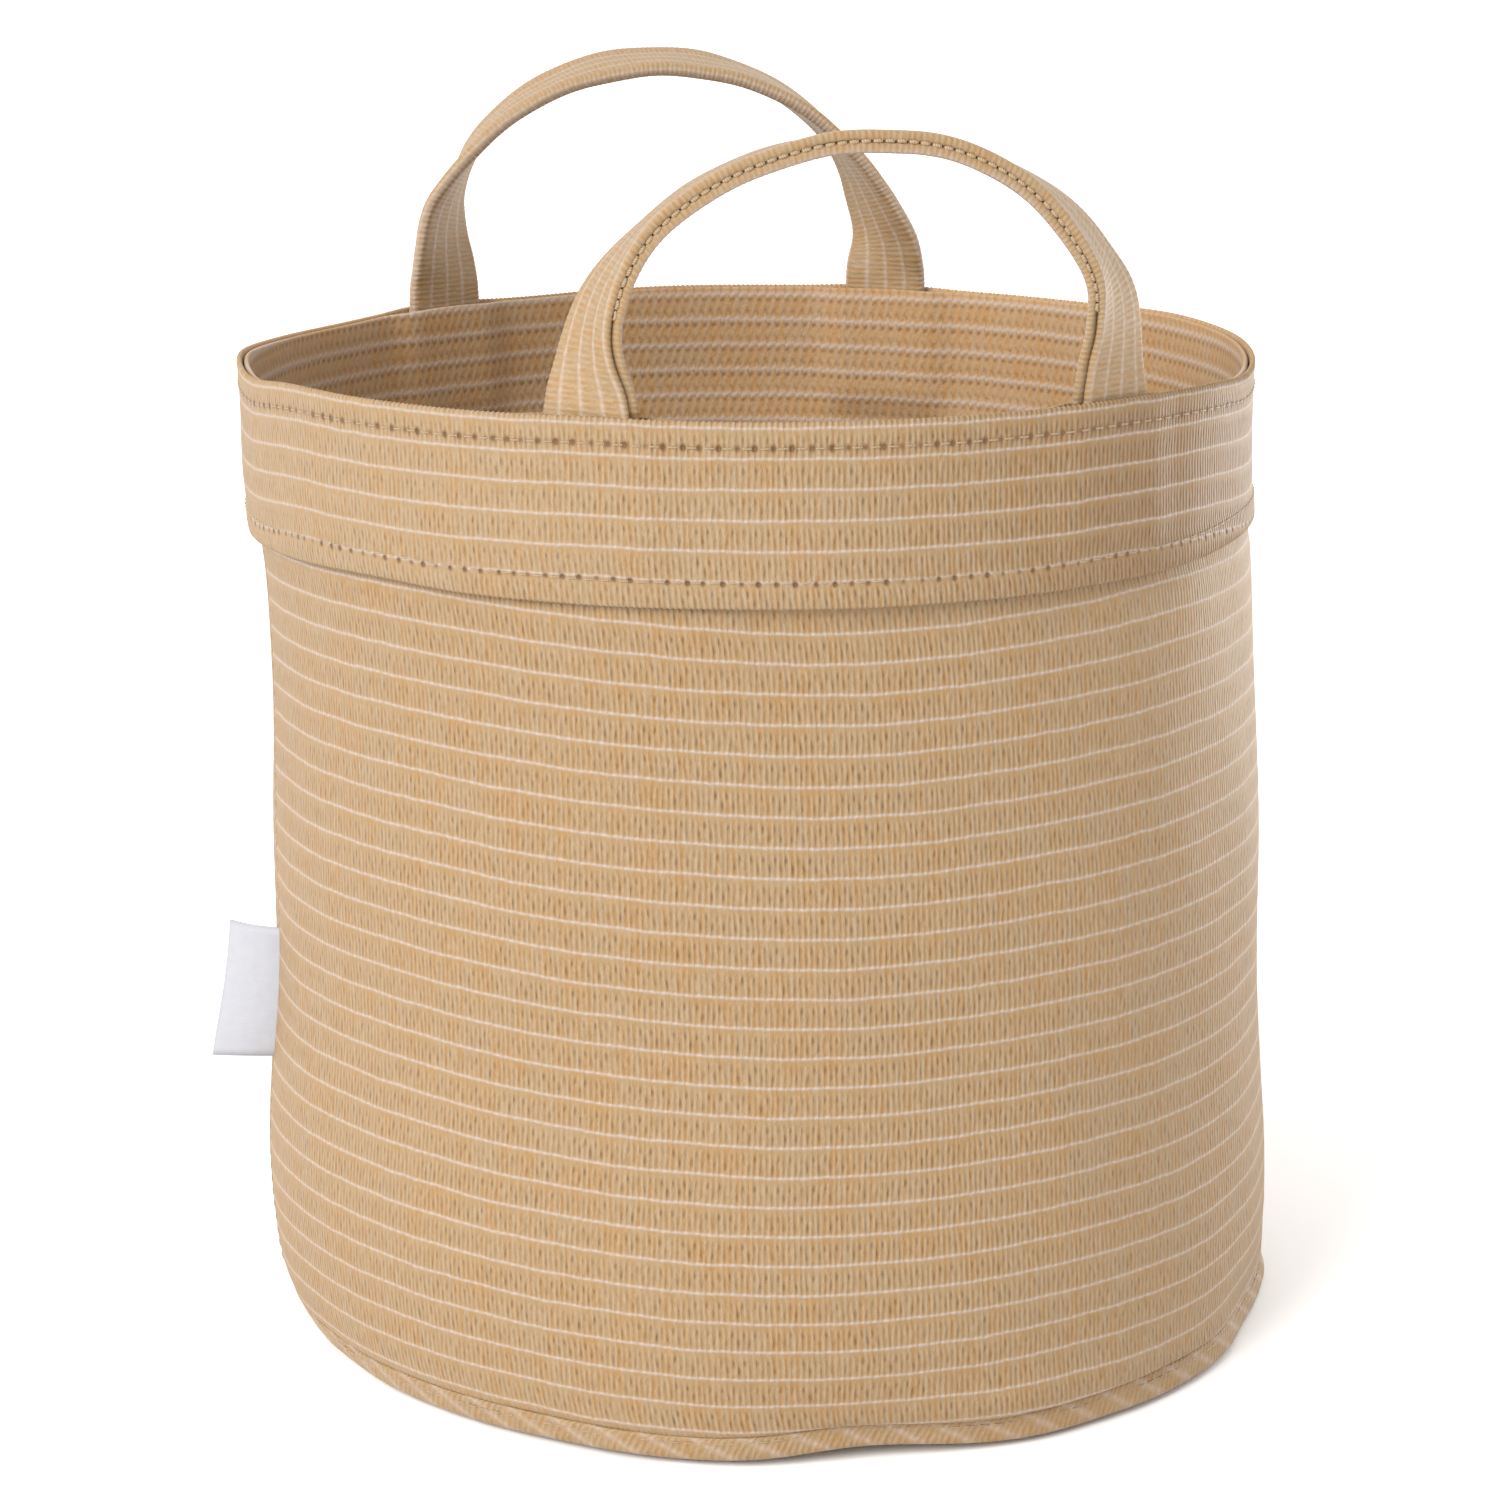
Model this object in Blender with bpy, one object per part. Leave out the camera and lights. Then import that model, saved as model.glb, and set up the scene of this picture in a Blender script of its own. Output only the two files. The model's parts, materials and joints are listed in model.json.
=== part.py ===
"""Fabric grow bag: a round planter bag sewn from knitted shade cloth, with two carry straps.

Frame: metres, +Z up. The origin is the centre of the underside of the base, the straps
stand at the front (-Y) and the rear (+Y), and the side seam with its label is at -X.
"""
import math

import bmesh
import bpy
from mathutils import Vector

# ---- driving dimensions -------------------------------------------------------------
RIM_HEIGHT = 0.292           # underside of the base to the top edge of the wall
FABRIC = 0.0016              # one layer of the knitted cloth
GAP = 0.0004                 # clearance between neighbouring solids
RING_SEGMENTS = 64           # straight facets round the bag

BASE_THICKNESS = 0.0018
WALL_FOOT_RADIUS = 0.1465    # outer radius where the wall meets the base
WALL_BELLY_RADIUS = 0.1532   # widest place, low on the wall
WALL_RIM_RADIUS = 0.1440     # outer radius of the wall at the rim, inside the cuff

BINDING_HEIGHT = 0.0090      # binding strip round the bottom seam
CUFF_HEIGHT = 0.0500         # outer band hanging from the rim
CUFF_INNER_RADIUS = 0.1486
HEM_HEIGHT = 0.0085          # folded lower edge of the cuff
HEM_THICKNESS = 0.0024

STRAP_WIDTH = 0.026
STRAP_THICKNESS = 0.0032
STRAP_HALF_ANGLE = math.radians(29.5)  # from the middle of a handle to each of its feet
STRAP_RADIUS = 0.1465        # middle of the strap's thickness between wall and cuff
TAIL_DEPTH = 0.040           # strap end caught between wall and cuff
FOLD_HEIGHT = 0.010          # fold line of a handle above the rim
TAIL_TOP_BELOW_FOLD = 0.0037
HANDLE_RISE = 0.062          # from the fold line to the middle of the strap at the top
HANDLE_SECTIONS = 36

STRAP_FACE_STEPS = 4         # facets across a strap's broad face
ROUNDED_END_SHARES = (0.25, 0.8)       # thickness left at the steps of a strap's round end

THREAD_RADIUS = 0.0004
THREAD_SIDES = 4
THREAD_STEPS = 28            # straight runs along a handle's seam
THREAD_START = math.radians(9.0)       # where a handle's seam starts along the arch
TOP_STITCH_BELOW_RIM = 0.0075
HEM_STITCH_INSET = 0.0010    # hem seam below the hem's upper edge
SIDE_SEAM_START = 0.012
SIDE_SEAM_END = 0.284

LABEL_WIDTH = 0.0215         # from the seam outwards
LABEL_HEIGHT = 0.040
LABEL_THICKNESS = 0.0008
LABEL_CENTRE_HEIGHT = 0.100
LABEL_SWEEP = math.radians(35.0)       # swept back from the radial direction
LABEL_AXIS_CLEARANCE = 0.0010          # hinge line outside the wall

# ---- derived places -----------------------------------------------------------------
CUFF_BOTTOM = RIM_HEIGHT - CUFF_HEIGHT
CUFF_OUTER_RADIUS = CUFF_INNER_RADIUS + FABRIC
HEM_OUTER_RADIUS = CUFF_INNER_RADIUS + HEM_THICKNESS
FOLD_Z = RIM_HEIGHT + FOLD_HEIGHT
FOOT_X = STRAP_RADIUS * math.sin(STRAP_HALF_ANGLE)
FOOT_Y = STRAP_RADIUS * math.cos(STRAP_HALF_ANGLE)
BINDING_INNER_RADIUS = WALL_FOOT_RADIUS + GAP
BINDING_OUTER_RADIUS = BINDING_INNER_RADIUS + FABRIC

# Outer wall outline from the base seam to the rim: (height, outer radius).
WALL_OUTLINE = (
    (BASE_THICKNESS + GAP, WALL_FOOT_RADIUS),
    (BINDING_HEIGHT + GAP, WALL_FOOT_RADIUS),
    (0.018, 0.1498),
    (0.030, 0.1524),
    (0.048, WALL_BELLY_RADIUS),
    (0.072, 0.1520),
    (0.100, 0.1499),
    (0.135, 0.1486),
    (0.175, 0.1476),
    (0.215, 0.1464),
    (CUFF_BOTTOM, 0.1453),
    (0.250, 0.1442),
    (RIM_HEIGHT, WALL_RIM_RADIUS),
)

FABRIC_COLOUR = (0.60, 0.40, 0.19, 1.0)
STRAP_COLOUR = (0.56, 0.37, 0.19, 1.0)
THREAD_COLOUR = (0.62, 0.45, 0.26, 1.0)
LABEL_COLOUR = (0.90, 0.90, 0.88, 1.0)


def clear_scene():
    """Remove whatever objects the file starts with."""
    for thing in list(bpy.data.objects):
        bpy.data.objects.remove(thing, do_unlink=True)


def make_material(name, colour, roughness):
    """A plain Principled BSDF material."""
    material = bpy.data.materials.new(name)
    material.use_nodes = True
    shader = material.node_tree.nodes["Principled BSDF"]
    shader.inputs["Base Color"].default_value = colour
    shader.inputs["Roughness"].default_value = roughness
    shader.inputs["Metallic"].default_value = 0.0
    return material


def object_from_bmesh(name, mesh_builder, material, origin=(0.0, 0.0, 0.0), smooth_angle=35.0):
    """Turn a bmesh in world coordinates into an object whose origin is at the given point."""
    bmesh.ops.recalc_face_normals(mesh_builder, faces=mesh_builder.faces)
    bmesh.ops.translate(mesh_builder, verts=mesh_builder.verts, vec=-Vector(origin))
    mesh = bpy.data.meshes.new(name)
    mesh_builder.to_mesh(mesh)
    mesh_builder.free()
    mesh.shade_smooth()
    mesh.set_sharp_from_angle(angle=math.radians(smooth_angle))
    mesh.materials.append(material)
    piece = bpy.data.objects.new(name, mesh)
    piece.location = origin
    bpy.context.scene.collection.objects.link(piece)
    return piece


def bridge_sections(builder, sections, closed):
    """Skin a list of equal vertex loops; an open row of sections gets end caps."""
    count = len(sections[0])
    pairs = len(sections) if closed else len(sections) - 1
    for i in range(pairs):
        here = sections[i]
        there = sections[(i + 1) % len(sections)]
        for k in range(count):
            after = (k + 1) % count
            builder.faces.new((here[k], here[after], there[after], there[k]))
    if not closed:
        builder.faces.new(sections[0])
        builder.faces.new(sections[-1])


def turned_ring(name, outline, material, start=0.0, sweep=2.0 * math.pi, segments=RING_SEGMENTS):
    """A closed outline of (radius, height) points turned about Z, all round or over an arc."""
    builder = bmesh.new()
    full = sweep > 2.0 * math.pi - 1e-6
    stations = segments if full else segments + 1
    sections = []
    for i in range(stations):
        angle = start + sweep * i / segments
        loop = []
        for radius, height in outline:
            point = (radius * math.sin(angle), -radius * math.cos(angle), height)
            loop.append(builder.verts.new(point))
        sections.append(loop)
    bridge_sections(builder, sections, full)
    return object_from_bmesh(name, builder, material)


def swept_section(name, frames, material, origin=(0.0, 0.0, 0.0)):
    """Skin sections given as lists of points along an open path."""
    builder = bmesh.new()
    sections = [[builder.verts.new(point) for point in frame] for frame in frames]
    bridge_sections(builder, sections, False)
    return object_from_bmesh(name, builder, material, origin)


def wall_radius(height):
    """Outer radius of the wall at a height, between the points of its outline."""
    for (low, low_radius), (high, high_radius) in zip(WALL_OUTLINE, WALL_OUTLINE[1:]):
        if height <= high:
            share = (height - low) / (high - low)
            return low_radius + (high_radius - low_radius) * share
    return WALL_RIM_RADIUS


def thread_ring(name, radius, height, material):
    """One run of thread lying round the bag on a surface of the given radius."""
    centre = radius + GAP + THREAD_RADIUS
    outline = []
    for k in range(THREAD_SIDES):
        angle = 2.0 * math.pi * k / THREAD_SIDES
        outline.append((centre + THREAD_RADIUS * math.cos(angle), height + THREAD_RADIUS * math.sin(angle)))
    return turned_ring(name, outline, material)


def thread_along(name, path, material, origin=(0.0, 0.0, 0.0)):
    """A thread of round section along a list of points."""
    frames = []
    for i, point in enumerate(path):
        before = path[max(i - 1, 0)]
        after = path[min(i + 1, len(path) - 1)]
        along = (after - before).normalized()
        helper = Vector((0.0, 1.0, 0.0)) if abs(along.y) < 0.9 else Vector((1.0, 0.0, 0.0))
        side = along.cross(helper).normalized()
        up = side.cross(along)
        frame = []
        for k in range(THREAD_SIDES):
            angle = 2.0 * math.pi * k / THREAD_SIDES
            offset = side * math.cos(angle) + up * math.sin(angle)
            frame.append(point + offset * THREAD_RADIUS)
        frames.append(frame)
    return swept_section(name, frames, material, origin)


# ---- fabric body --------------------------------------------------------------------
def make_wall(material):
    """The rolled wall panel: one layer of cloth with the side seam closed."""
    outer = [(radius, height) for height, radius in WALL_OUTLINE]
    inner = [(radius - FABRIC, height) for height, radius in reversed(WALL_OUTLINE)]
    return turned_ring("wall_panel", outer + inner, material)


def make_base(material):
    """The round base panel, flat on the ground."""
    builder = bmesh.new()
    bmesh.ops.create_cone(
        builder, cap_ends=True, cap_tris=False, segments=RING_SEGMENTS,
        radius1=WALL_FOOT_RADIUS, radius2=WALL_FOOT_RADIUS, depth=BASE_THICKNESS)
    bmesh.ops.translate(builder, verts=builder.verts, vec=(0.0, 0.0, BASE_THICKNESS / 2.0))
    return object_from_bmesh("base_panel", builder, material)


def make_binding(material):
    """The bias strip that covers the bottom seam from outside."""
    round_off = FABRIC / 2.0
    outline = [
        (BINDING_INNER_RADIUS, 0.0),
        (BINDING_OUTER_RADIUS - round_off, 0.0),
        (BINDING_OUTER_RADIUS, round_off),
        (BINDING_OUTER_RADIUS, BINDING_HEIGHT - round_off),
        (BINDING_OUTER_RADIUS - round_off, BINDING_HEIGHT),
        (BINDING_INNER_RADIUS, BINDING_HEIGHT),
    ]
    return turned_ring("base_binding", outline, material)


def make_cuff(material):
    """The outer band, sewn at the rim, hanging loose to its double-folded hem."""
    hem_top = CUFF_BOTTOM + HEM_HEIGHT
    outline = [
        (CUFF_INNER_RADIUS, CUFF_BOTTOM),
        (HEM_OUTER_RADIUS - FABRIC / 2.0, CUFF_BOTTOM),
        (HEM_OUTER_RADIUS, CUFF_BOTTOM + FABRIC / 2.0),
        (HEM_OUTER_RADIUS, hem_top),
        (CUFF_OUTER_RADIUS, hem_top + FABRIC),
        (CUFF_OUTER_RADIUS, RIM_HEIGHT - FABRIC / 2.0),
        (CUFF_OUTER_RADIUS - FABRIC / 2.0, RIM_HEIGHT),
        (CUFF_INNER_RADIUS, RIM_HEIGHT),
    ]
    return turned_ring("cuff_band", outline, material)


# ---- carry straps -------------------------------------------------------------------
def strap_outline(thickness_share=1.0):
    """Strap cross-section as (across, deep) pairs, with its four corners taken off."""
    half_width = STRAP_WIDTH / 2.0
    half_thick = STRAP_THICKNESS / 2.0 * thickness_share
    corner = half_thick * 0.6
    flat = half_width - corner
    steps = [flat * (1.0 - 2.0 * k / STRAP_FACE_STEPS) for k in range(STRAP_FACE_STEPS + 1)]
    outer_face = [(across, half_thick) for across in steps]
    inner_face = [(across, -half_thick) for across in reversed(steps)]
    left_edge = [(-half_width, half_thick - corner), (-half_width, corner - half_thick)]
    right_edge = [(half_width, corner - half_thick), (half_width, half_thick - corner)]
    return outer_face + left_edge + inner_face + right_edge


def flat_section(centre, width_way, thick_way, thickness_share=1.0):
    """The cross-section placed on a straight width direction."""
    points = []
    for across, deep in strap_outline(thickness_share):
        points.append(centre + width_way * across + thick_way * deep)
    return points


def curved_section(foot_angle, height):
    """The cross-section bent round the bag between the wall and the cuff."""
    points = []
    for across, deep in strap_outline():
        angle = foot_angle + across / STRAP_RADIUS
        radius = STRAP_RADIUS + deep
        points.append(Vector((radius * math.sin(angle), -radius * math.cos(angle), height)))
    return points


def handle_centre(turn):
    """Middle of the front strap: turn is 0 at the -X foot, half a turn at the +X foot."""
    rise = HANDLE_RISE * math.sin(turn)
    return Vector((-FOOT_X * math.cos(turn), -FOOT_Y, FOLD_Z + rise))


def handle_ways(turn):
    """Length, width and thickness directions of the front strap.

    The open edge faces the hand gap at the feet and away from the bag at the top, so the
    strap makes a quarter twist on each side.
    """
    along = Vector((FOOT_X * math.sin(turn), 0.0, HANDLE_RISE * math.cos(turn))).normalized()
    to_gap = Vector((along.z, 0.0, -along.x))
    share = 1.0 - abs(2.0 * turn / math.pi - 1.0)
    twist = math.pi / 2.0 * share * share * (3.0 - 2.0 * share)
    outward = Vector((0.0, -1.0, 0.0))
    width_way = to_gap * math.cos(twist) + outward * math.sin(twist)
    return along, width_way, width_way.cross(along)


def handle_sections():
    """Sections of the front strap from one rounded end on the fold line to the other."""
    half_thick = STRAP_THICKNESS / 2.0
    sections = []
    for i in range(HANDLE_SECTIONS + 1):
        turn = math.pi * i / HANDLE_SECTIONS
        centre = handle_centre(turn)
        along, width_way, thick_way = handle_ways(turn)
        section = flat_section(centre, width_way, thick_way)
        if i == 0:
            for share in ROUNDED_END_SHARES:
                drop = along * half_thick * math.sqrt(1.0 - share * share)
                sections.append(flat_section(centre - drop, width_way, thick_way, share))
        sections.append(section)
        if i == HANDLE_SECTIONS:
            for share in reversed(ROUNDED_END_SHARES):
                drop = along * half_thick * math.sqrt(1.0 - share * share)
                sections.append(flat_section(centre + drop, width_way, thick_way, share))
    return sections


def handle_thread_path():
    """The closing seam along the strap's open edge, clear of the fold line."""
    offset = STRAP_WIDTH / 2.0 + GAP + THREAD_RADIUS
    path = []
    for i in range(THREAD_STEPS + 1):
        turn = THREAD_START + (math.pi - 2.0 * THREAD_START) * i / THREAD_STEPS
        path.append(handle_centre(turn) + handle_ways(turn)[1] * offset)
    return path


def half_turned(points):
    """The same points turned half round Z, from the front of the bag to the rear."""
    return [Vector((-point.x, -point.y, point.z)) for point in points]


def make_handle(side, strap_material, thread_material):
    """One carry strap with its closing seam, both with their origins on the fold line."""
    sections = handle_sections()
    path = handle_thread_path()
    origin = Vector((0.0, -FOOT_Y, FOLD_Z))
    if side == "rear":
        sections = [half_turned(section) for section in sections]
        path = half_turned(path)
        origin = half_turned([origin])[0]
    swept_section(side + "_handle_strap", sections, strap_material, origin)
    thread_along(side + "_handle_stitch", path, thread_material, origin)


def make_tail(name, foot_angle, material):
    """The strap end held between wall and cuff, turning straight as it reaches the fold."""
    upright = 1.0 if math.cos(foot_angle) > 0.0 else -1.0
    top_z = FOLD_Z - TAIL_TOP_BELOW_FOLD
    foot = Vector((STRAP_RADIUS * math.sin(foot_angle), -STRAP_RADIUS * math.cos(foot_angle), top_z))
    across_way = Vector((upright, 0.0, 0.0))
    out_way = Vector((0.0, -upright, 0.0))
    top = flat_section(foot, across_way, out_way)
    frames = [curved_section(foot_angle, RIM_HEIGHT - TAIL_DEPTH)]
    frames.append(curved_section(foot_angle, RIM_HEIGHT - TAIL_DEPTH / 2.0))
    at_rim = curved_section(foot_angle, RIM_HEIGHT)
    frames.append(at_rim)
    frames.append([low.lerp(high, 0.5) for low, high in zip(at_rim, top)])
    frames.append(top)
    swept_section(name, frames, material)


# ---- label and seams ----------------------------------------------------------------
def make_label(material):
    """The folded side label, standing out of the side seam on its own hinge line."""
    widest = wall_radius(LABEL_CENTRE_HEIGHT - LABEL_HEIGHT / 2.0)
    axis = Vector((-(widest + LABEL_AXIS_CLEARANCE), 0.0, LABEL_CENTRE_HEIGHT))
    away = Vector((-math.cos(LABEL_SWEEP), math.sin(LABEL_SWEEP), 0.0))
    thick_way = Vector((away.y, -away.x, 0.0)) * (LABEL_THICKNESS / 2.0)
    tall_way = Vector((0.0, 0.0, LABEL_HEIGHT / 2.0))
    frames = []
    for distance in (0.0, LABEL_WIDTH / 2.0, LABEL_WIDTH):
        centre = axis + away * distance
        frames.append([
            centre + thick_way + tall_way, centre - thick_way + tall_way,
            centre - thick_way - tall_way, centre + thick_way - tall_way])
    swept_section("side_label", frames, material, axis)


def make_side_seam_stitch(material):
    """The thread of the side seam, running up the inside of the wall at -X."""
    inset = FABRIC + GAP + THREAD_RADIUS
    heights = [(SIDE_SEAM_START, WALL_FOOT_RADIUS)]
    heights += [pair for pair in WALL_OUTLINE if SIDE_SEAM_START < pair[0] < SIDE_SEAM_END]
    heights.append((SIDE_SEAM_END, WALL_RIM_RADIUS))
    path = [Vector((inset - radius, 0.0, height)) for height, radius in heights]
    thread_along("side_seam_stitch", path, material)


def build():
    """Make every piece of the bag."""
    clear_scene()
    cloth = make_material("knitted_cloth", FABRIC_COLOUR, 0.85)
    strap_cloth = make_material("strap_cloth", STRAP_COLOUR, 0.85)
    thread = make_material("sewing_thread", THREAD_COLOUR, 0.60)
    label_cloth = make_material("label_cloth", LABEL_COLOUR, 0.55)

    make_base(cloth)
    make_wall(cloth)
    make_binding(cloth)
    make_cuff(cloth)
    for side, facing in (("front", 0.0), ("rear", math.pi)):
        make_handle(side, strap_cloth, thread)
        for end, sign in (("left", -1.0), ("right", 1.0)):
            make_tail(f"{side}_{end}_strap_tail", facing + sign * STRAP_HALF_ANGLE, strap_cloth)
    make_label(label_cloth)
    thread_ring("cuff_top_stitch", CUFF_OUTER_RADIUS, RIM_HEIGHT - TOP_STITCH_BELOW_RIM, thread)
    thread_ring("cuff_hem_stitch", HEM_OUTER_RADIUS, CUFF_BOTTOM + HEM_HEIGHT - HEM_STITCH_INSET, thread)
    thread_ring("base_seam_stitch", BINDING_OUTER_RADIUS, BINDING_HEIGHT * 0.7, thread)
    make_side_seam_stitch(thread)


build()
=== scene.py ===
"""The looks of a round fabric grow bag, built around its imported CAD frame.

The bag is knitted shade cloth: a tall wall, a cuff turned down over the rim, a bound round base, two folded
carry straps and a plain side label. Angles are measured round the bag from its front (-Y) towards +X.
"""

import json
import math

import bmesh
import bpy
import numpy as np
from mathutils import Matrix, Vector


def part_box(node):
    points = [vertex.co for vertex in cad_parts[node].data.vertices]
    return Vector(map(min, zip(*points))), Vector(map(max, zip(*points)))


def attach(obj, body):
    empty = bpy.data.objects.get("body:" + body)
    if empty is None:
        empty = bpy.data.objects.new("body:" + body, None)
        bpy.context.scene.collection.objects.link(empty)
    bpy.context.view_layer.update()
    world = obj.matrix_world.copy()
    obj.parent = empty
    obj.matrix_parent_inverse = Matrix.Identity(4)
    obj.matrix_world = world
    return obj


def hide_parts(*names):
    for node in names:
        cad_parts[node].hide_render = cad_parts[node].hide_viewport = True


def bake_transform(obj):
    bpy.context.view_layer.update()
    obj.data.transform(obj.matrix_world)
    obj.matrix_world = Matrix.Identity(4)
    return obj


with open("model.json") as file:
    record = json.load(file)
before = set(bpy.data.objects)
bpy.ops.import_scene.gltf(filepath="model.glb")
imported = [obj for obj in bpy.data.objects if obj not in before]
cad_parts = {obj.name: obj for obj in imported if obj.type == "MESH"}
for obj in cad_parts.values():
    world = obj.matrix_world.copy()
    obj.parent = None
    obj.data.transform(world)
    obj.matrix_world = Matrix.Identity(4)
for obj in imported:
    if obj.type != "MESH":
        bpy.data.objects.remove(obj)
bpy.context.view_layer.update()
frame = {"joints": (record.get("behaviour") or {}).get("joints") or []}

# ---- places and sizes taken from the frame
JOINTS = {joint["name"]: joint for joint in frame["joints"]}
FOLD_Z = JOINTS["front_handle_fold"]["pos_m"][2]
STRAP_PLANE = JOINTS["rear_handle_fold"]["pos_m"][1]     # the folds lie this far behind and in front
RIM_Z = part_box("cuff_band")[1].z
CUFF_BOTTOM_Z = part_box("cuff_band")[0].z
LABEL_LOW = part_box("side_label")[0].z
LABEL_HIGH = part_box("side_label")[1].z

# ---- cloth, metres
CLOTH = 0.0015          # thickness of one layer of knitted cloth
AIR = 0.0003            # between two pieces that touch
GIRTH = 0.940           # round the bag, the length of the wall's and the cuff's cut
WALES = 600             # upright ribs round the bag
WALE = GIRTH / WALES
BAND = 0.00835          # from one pale cross line to the next
SEAM_ANGLE = math.radians(-90.0)
RIM_RADIUS = 0.1465     # of the wall where the straps' tails lie
WALL_BOTTOM_Z = 0.0036  # the wall ends behind the binding
WALL_TOP_BELOW = 0.0011     # and this far below the rim, inside the cuff
# Stretches of the wall's height as (lowest share, highest share, rows).
WALL_ROWS = ((0.0, 0.07, 17), (0.07, 0.77, 34), (0.77, 0.84, 8), (0.84, 1.0, 11))

# ---- cuff, binding and base
TOP_LINE = 0.0014       # the cuff's first pale line lies this far below the rim
CUFF_BAND = 0.0081      # the cuff's lines lie closer than the wall's, because the turned cloth is slack
WALL_LINE_Z = 0.2288    # the wall's first pale line below the cuff
HEM_HEIGHT = 0.0078
HEM_EXTRA = 0.0009      # how far the folded hem stands out of the cuff
BINDING_TOP = 0.0080
BINDING_THICKNESS = 0.0016
BINDING_UNDER = 0.0085  # how far the tape reaches in under the base
BINDING_TURN_Z = 0.0028     # where the tape turns in
BINDING_RIB = 0.0021    # from one fold across the tape to the next
BINDING_STITCH_Z = 0.0064
BIAS = math.radians(38)     # the slant of the tape's cut
BASE_Z = 0.0024         # the middle of the base's cloth
BASE_SEAM_Z = 0.004     # where the base's edge meets the wall
BASE_COLUMNS = 180
STRETCHED_AND_SHADED = (0.350, 2.0)    # where along the cuff its knit is more open and also painted darker as shade, and how much

# ---- carry straps
STRAP_WIDTH = 0.026
STRAP_THICKNESS = 0.0042
STRAP_PUSH = 0.0012     # how far a strap's tail presses the cuff out
TAIL_DEPTH = 0.038      # how far a strap's tail reaches down behind the cuff
LOBE_SWELL = 0.42       # the two rolled edges spread this much above the rim
FEET = {                # where each strap's two feet stand, as angles round the bag
    "front": (math.radians(-28.2), math.radians(30.0)),
    "rear": (math.radians(149.6), math.radians(-149.7)),
}
# turn is 1 in front and -1 at the rear. The rest is the arch's middle, half span, rise and the way that its
# top leans to the right, each as seen from outside.
STRAP_SHAPES = {
    "front": {"turn": 1.0, "middle": 0.0028, "half_span": 0.0724, "rise": 0.0586, "lean": 0.0022},
    "rear": {"turn": -1.0, "middle": 0.0021, "half_span": 0.0736, "rise": 0.0620, "lean": 0.0008},
}
# Each leg's turn about its own line, as (height above the rim, degrees).
STRAP_TWISTS = {
    "front": (
        [(-0.004, 0), (0.006, 20), (0.0126, 43), (0.025, 74), (0.033, 84), (0.043, 92), (0.068, 95)],
        [(-0.004, 0), (0.003, 4), (0.009, 14), (0.020, 40), (0.033, 60), (0.043, 67), (0.068, 95)],
    ),
    "rear": (
        [(-0.004, 0), (0.003, 4), (0.009, 21), (0.020, 56), (0.032, 78), (0.044, 88), (0.072, 98)],
        [(-0.004, 0), (0.003, 4), (0.009, 16), (0.020, 44), (0.032, 68), (0.044, 81), (0.072, 98)],
    ),
}

# ---- stitches
TOP_STITCH_BELOW = 0.0067
HEM_STITCH_ABOVE = 0.0070
STITCH_PITCH = 0.0048   # of the cuff's two rows
FINE_PITCH = 0.0042     # of the binding's row and the side seam
STRAP_PITCH = 0.0031
# A thread's radius, how far it rises over the cloth, and the share of each pitch where it shows.
CUFF_THREAD = (0.00022, 0.00016, 0.62)
BINDING_THREAD = (0.00018, 0.00008, 0.78)
SIDE_THREAD = (0.00020, 0.00008, 0.78)
STRAP_THREAD = (0.00048, 0.00050, 0.72)

# ---- side label
LABEL_WIDTH = 0.0190
LABEL_THICKNESS = 0.0007
LABEL_SWEEP_LOW = math.radians(20)      # turned back from the seam at its bottom
LABEL_SWEEP_HIGH = math.radians(45)     # and at its top

# ---- camera, lights and floor
VIEW_TURN = math.radians(12.3)       # the camera stands this far round from the front, towards -X
VIEW_YAW = math.radians(-0.344)
VIEW_PITCH = math.radians(14.19)
VIEW_DISTANCE = 1.1
VIEW_HEIGHT = 0.445
VIEW_SHIFT = 0.0028                  # the bag's foot stands this far to the right of the view's middle
LENS_MM = 89.8
SENSOR_MM = 36.0
KEY_POWER = 3.05
EDGE_POWER = 5.2
ROOM_POWER = 1.1
FLOOR_REACH = 14.0
ACROSS_VIEW = np.array([math.cos(VIEW_TURN), -math.sin(VIEW_TURN), 0.0])    # to the right in the view


def smooth_curve(points):
    """A function through given (place, value) points, smooth at each of them."""
    places, values = (np.array(column, float) for column in zip(*points))
    slopes = np.gradient(values, places)

    def curve(x):
        x = np.clip(x, places[0], places[-1])
        i = np.clip(np.searchsorted(places, x, side="right") - 1, 0, len(places) - 2)
        step = places[i + 1] - places[i]
        t = (x - places[i]) / step
        rise = t * t * (3 - 2 * t)
        lead = step * t * (1 - t) * (slopes[i] * (1 - t) - slopes[i + 1] * t)
        return values[i] * (1 - rise) + values[i + 1] * rise + lead

    return curve


def smooth_step(x, low, high):
    """0 up to low and 1 from high on, with a smooth rise between."""
    t = np.clip((x - low) / (high - low), 0.0, 1.0)
    return t * t * (3 - 2 * t)


def bell(angle, centre_degrees, width_degrees):
    """1 at the centre angle, falling to nothing a few widths to each side, for angles in radians."""
    away = (angle - math.radians(centre_degrees) + math.pi) % (2 * math.pi) - math.pi
    return np.exp(-((away / math.radians(width_degrees)) ** 2))


# ---- the body's shape
# By height: the wall's radius, the cuff's radius, and how far the middle leans to the right in the view.
BODY_RADIUS = smooth_curve([
    (0.0, 0.1500), (0.012, 0.1514), (0.030, 0.1530), (0.050, 0.1532), (0.075, 0.1516), (0.100, 0.1497),
    (0.150, 0.1487), (0.195, 0.1466), (0.225, 0.1461), (0.245, 0.1462),
])
CUFF_RADIUS = smooth_curve([(0.240, 0.1476), (0.255, 0.1486), (0.275, 0.1486), (0.292, 0.1491)])
LEAN = smooth_curve([
    (0.0, 0.0078), (0.012, 0.0036), (0.030, 0.0024), (0.050, 0.0017), (0.115, 0.0018), (0.160, 0.0010),
    (0.200, 0.0), (0.228, -0.0014), (0.246, -0.0034), (0.292, -0.0048),
])


def view_angle(theta):
    """The angle measured from the side that faces the camera."""
    return theta + VIEW_TURN


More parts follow.
